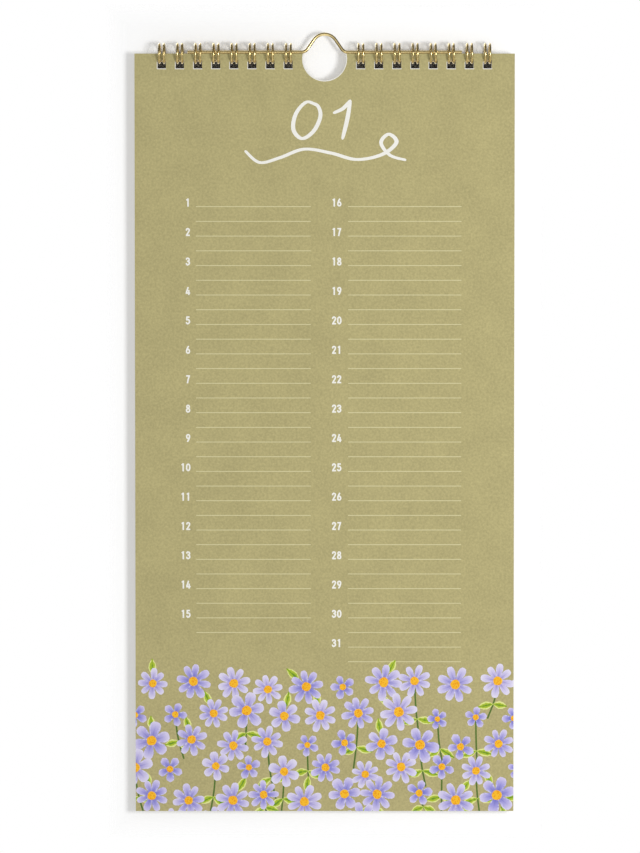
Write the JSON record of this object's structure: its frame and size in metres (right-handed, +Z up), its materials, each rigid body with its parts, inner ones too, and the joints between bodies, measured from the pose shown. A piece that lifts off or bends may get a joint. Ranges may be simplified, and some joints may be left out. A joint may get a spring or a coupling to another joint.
{
  "type": "wall calendar",
  "caption": "Tall narrow month-sheet wall calendar bound with twin-loop wire, with a bent-wire hanger over a round thumb notch.",
  "frame": {"origin": "underside of the hanger's arch at its peak, where a nail or hook carries it", "axes": "+Z up, the printed leaves face -Y, the wall is at +Y, +X to the right as seen from the front"},
  "size_m": [0.1778, 0.0098, 0.3656],
  "materials": {
    "hanger_wire": "bright drawn wire",
    "binding_wire": "bright gold-coloured wire",
    "board_card": "matt uncoated card",
    "leaf_paper": "matt printed paper with white cut edges"
  },
  "bodies": {
    "hanger": {"hanger": "hanger_wire"},
    "calendar": {"binding_wire_left": "binding_wire", "binding_wire_right": "binding_wire", "backing_board": "board_card", "page_block": "leaf_paper"},
    "front_leaf": {"front_leaf": "leaf_paper"}
  },
  "joints": [
    {"name": "hanger_swing", "type": "hinge", "parent": "hanger", "child": "calendar", "pos_m": [0, 0, -0.00762], "axis": [1, 0, 0], "range_deg": [-90, 90]},
    {"name": "leaf_turn", "type": "hinge", "parent": "calendar", "child": "front_leaf", "pos_m": [0, 0, -0.00824], "axis": [-1, 0, 0], "range_deg": [0, 180]}
  ]
}
